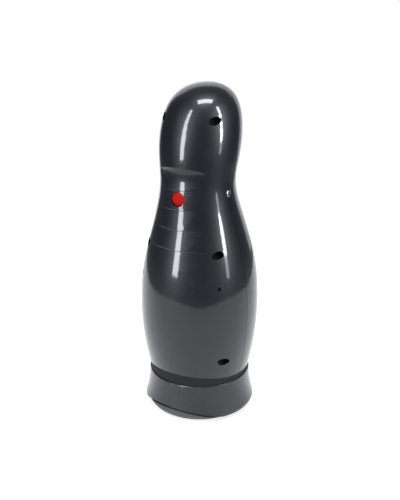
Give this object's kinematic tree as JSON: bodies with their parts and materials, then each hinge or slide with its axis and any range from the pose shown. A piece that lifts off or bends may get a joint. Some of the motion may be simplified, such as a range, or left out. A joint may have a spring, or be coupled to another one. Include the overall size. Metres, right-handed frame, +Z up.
{
  "type": "hand-held vibration unit",
  "caption": "Pin-shaped two-shell housing with stepped grip, red push button and charging socket, standing on a flared base ring; battery and eccentric motor inside.",
  "frame": {"origin": "centre of the foot's underside, on the surface that the object stands on", "axes": "+Z up along the object's length, the button faces -Y, +X is the side with the charging socket"},
  "size_m": [0.0902, 0.0904, 0.25],
  "materials": {
    "shell_plastic": "glossy moulded",
    "base_plastic": "satin moulded",
    "button_plastic": "matte",
    "inner_plastic": "matte",
    "board_laminate": "satin",
    "cell_wrap": "shrink film",
    "magnet_ferrite": "ground",
    "collar_rubber": "matte",
    "pad_rubber": "matte",
    "wire_cover": "soft",
    "screw_steel": "black zinc",
    "spring_steel": "bright",
    "motor_steel": "zinc plated",
    "ballast_steel": "turned",
    "bush_bronze": "sintered",
    "bright_metal": "polished"
  },
  "bodies": {
    "housing": {"front_shell": "shell_plastic", "rear_shell": "shell_plastic", "shell_screws": "screw_steel", "tray_pins": "screw_steel", "collar_band": "collar_rubber", "base_ring": "base_plastic", "base_screws": "screw_steel", "foot": "base_plastic", "foot_screws": "screw_steel", "foot_pad": "pad_rubber", "ballast": "ballast_steel", "button_spring": "spring_steel", "switch_body": "inner_plastic", "control_board": "board_laminate", "board_screws": "screw_steel", "charge_jack": "inner_plastic", "jack_ring": "bright_metal", "battery_tray": "inner_plastic", "battery_cells": "cell_wrap", "cell_links": "spring_steel", "motor_can": "motor_steel", "motor_endcap": "inner_plastic", "motor_bushes": "bush_bronze", "motor_magnets": "magnet_ferrite", "motor_sleeve": "pad_rubber", "battery_leads": "wire_cover", "motor_leads": "wire_cover", "jack_leads": "wire_cover"},
    "button": {"button_cap": "button_plastic"},
    "plunger": {"switch_plunger": "inner_plastic"},
    "rotor": {"motor_shaft": "motor_steel", "motor_armature": "motor_steel", "motor_commutator": "bush_bronze", "eccentric_weight": "ballast_steel"}
  },
  "joints": [
    {"name": "button_press", "type": "slide", "parent": "housing", "child": "button", "axis": [0, 1, 0], "range_m": [0, 0.0008], "stiffness_N_per_m": 1500, "springref_m": -0.0004, "deforming": ["button_spring"]},
    {"name": "plunger_press", "type": "slide", "parent": "housing", "child": "plunger", "axis": [0, 1, 0], "range_m": [0, 0.0008]},
    {"name": "motor_spin", "type": "hinge", "parent": "housing", "child": "rotor", "pos_m": [0, 0.001, 0.2], "axis": [0, 0, 1], "continuous": true}
  ],
  "couplings": [
    {"joint": "plunger_press", "follows": "button_press", "ratio": 1}
  ]
}
